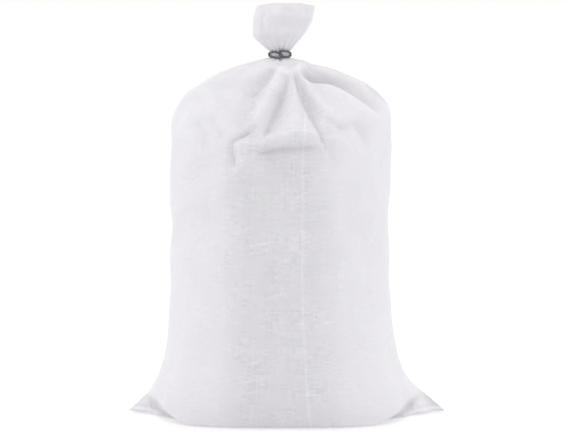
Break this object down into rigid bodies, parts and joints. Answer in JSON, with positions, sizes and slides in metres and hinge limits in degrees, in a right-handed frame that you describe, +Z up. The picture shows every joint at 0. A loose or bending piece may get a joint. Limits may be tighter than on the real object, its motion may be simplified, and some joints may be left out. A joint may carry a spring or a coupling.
{
  "type": "bag of quartz sand",
  "caption": "Woven polypropylene sack filled with quartz sand, standing upright, its gathered neck tied with wire under an open tuft, with flat ears at the bottom corners.",
  "frame": {"origin": "middle of the sack's footprint on the floor", "axes": "+Z up along the standing sack, +X towards its right-hand ear, -Y towards its front with the wire's knot"},
  "size_m": [0.4373, 0.262, 0.563],
  "materials": {
    "woven_polypropylene": "plain-woven flat white tapes, slightly glossy and slightly see-through",
    "quartz_sand": "loose dry pale grains, matt",
    "annealed_steel_wire": "dark annealed, dull sheen"
  },
  "bodies": {
    "root": {"sack": "woven_polypropylene", "sand_fill": "quartz_sand", "tie_wire": "annealed_steel_wire"}
  },
  "joints": []
}
